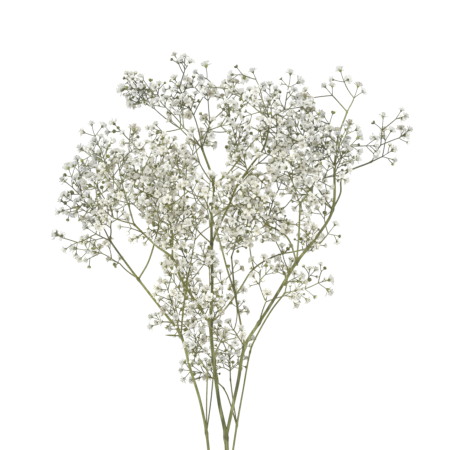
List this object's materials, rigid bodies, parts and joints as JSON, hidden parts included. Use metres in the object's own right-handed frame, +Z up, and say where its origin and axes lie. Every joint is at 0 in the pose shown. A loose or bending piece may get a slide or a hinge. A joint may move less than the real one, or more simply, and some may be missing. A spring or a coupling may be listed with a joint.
{
  "type": "gypsophila stem",
  "caption": "Cut stem of double baby's breath, lying flat: a green stalk that forks into a wide airy fan of thin twigs with small white florets and round buds",
  "frame": {"origin": "on the surface the stem lies on, under the middle of its outline seen from above", "axes": "+Y from the cut end of the stalk to the tips, +X to the right seen from above, +Z up from the surface"},
  "size_m": [0.3595, 0.5517, 0.1332],
  "materials": {
    "stem": "matte, soft green plant stem",
    "bloom": "matte, thin white petals"
  },
  "bodies": {
    "root": {"main_stem": "stem", "spray_01": "bloom", "spray_02": "bloom", "spray_03": "bloom", "spray_04": "bloom", "spray_05": "bloom", "spray_06": "bloom", "spray_07": "bloom", "spray_08": "bloom", "spray_09": "bloom", "spray_10": "bloom", "spray_11": "bloom", "spray_12": "bloom", "spray_13": "bloom", "spray_14": "bloom", "spray_15": "bloom", "spray_16": "bloom", "spray_17": "bloom", "spray_18": "bloom", "spray_19": "bloom", "spray_20": "bloom", "spray_21": "bloom", "spray_22": "bloom", "spray_23": "bloom", "spray_24": "bloom", "spray_25": "bloom", "spray_26": "bloom", "spray_27": "bloom", "spray_28": "bloom", "spray_29": "bloom", "spray_30": "bloom", "spray_31": "bloom", "spray_32": "bloom", "spray_33": "bloom", "spray_34": "bloom", "spray_35": "bloom", "spray_36": "bloom", "spray_37": "bloom", "spray_38": "bloom", "spray_39": "bloom", "spray_40": "bloom", "spray_41": "bloom", "spray_42": "bloom", "spray_43": "bloom", "spray_44": "bloom", "spray_45": "bloom", "spray_46": "bloom", "spray_47": "bloom", "spray_48": "bloom", "spray_49": "bloom", "spray_50": "bloom", "spray_51": "bloom", "spray_52": "bloom", "spray_53": "bloom", "spray_54": "bloom", "spray_55": "bloom", "spray_56": "bloom", "spray_57": "bloom", "spray_58": "bloom", "spray_59": "bloom"}
  },
  "joints": []
}
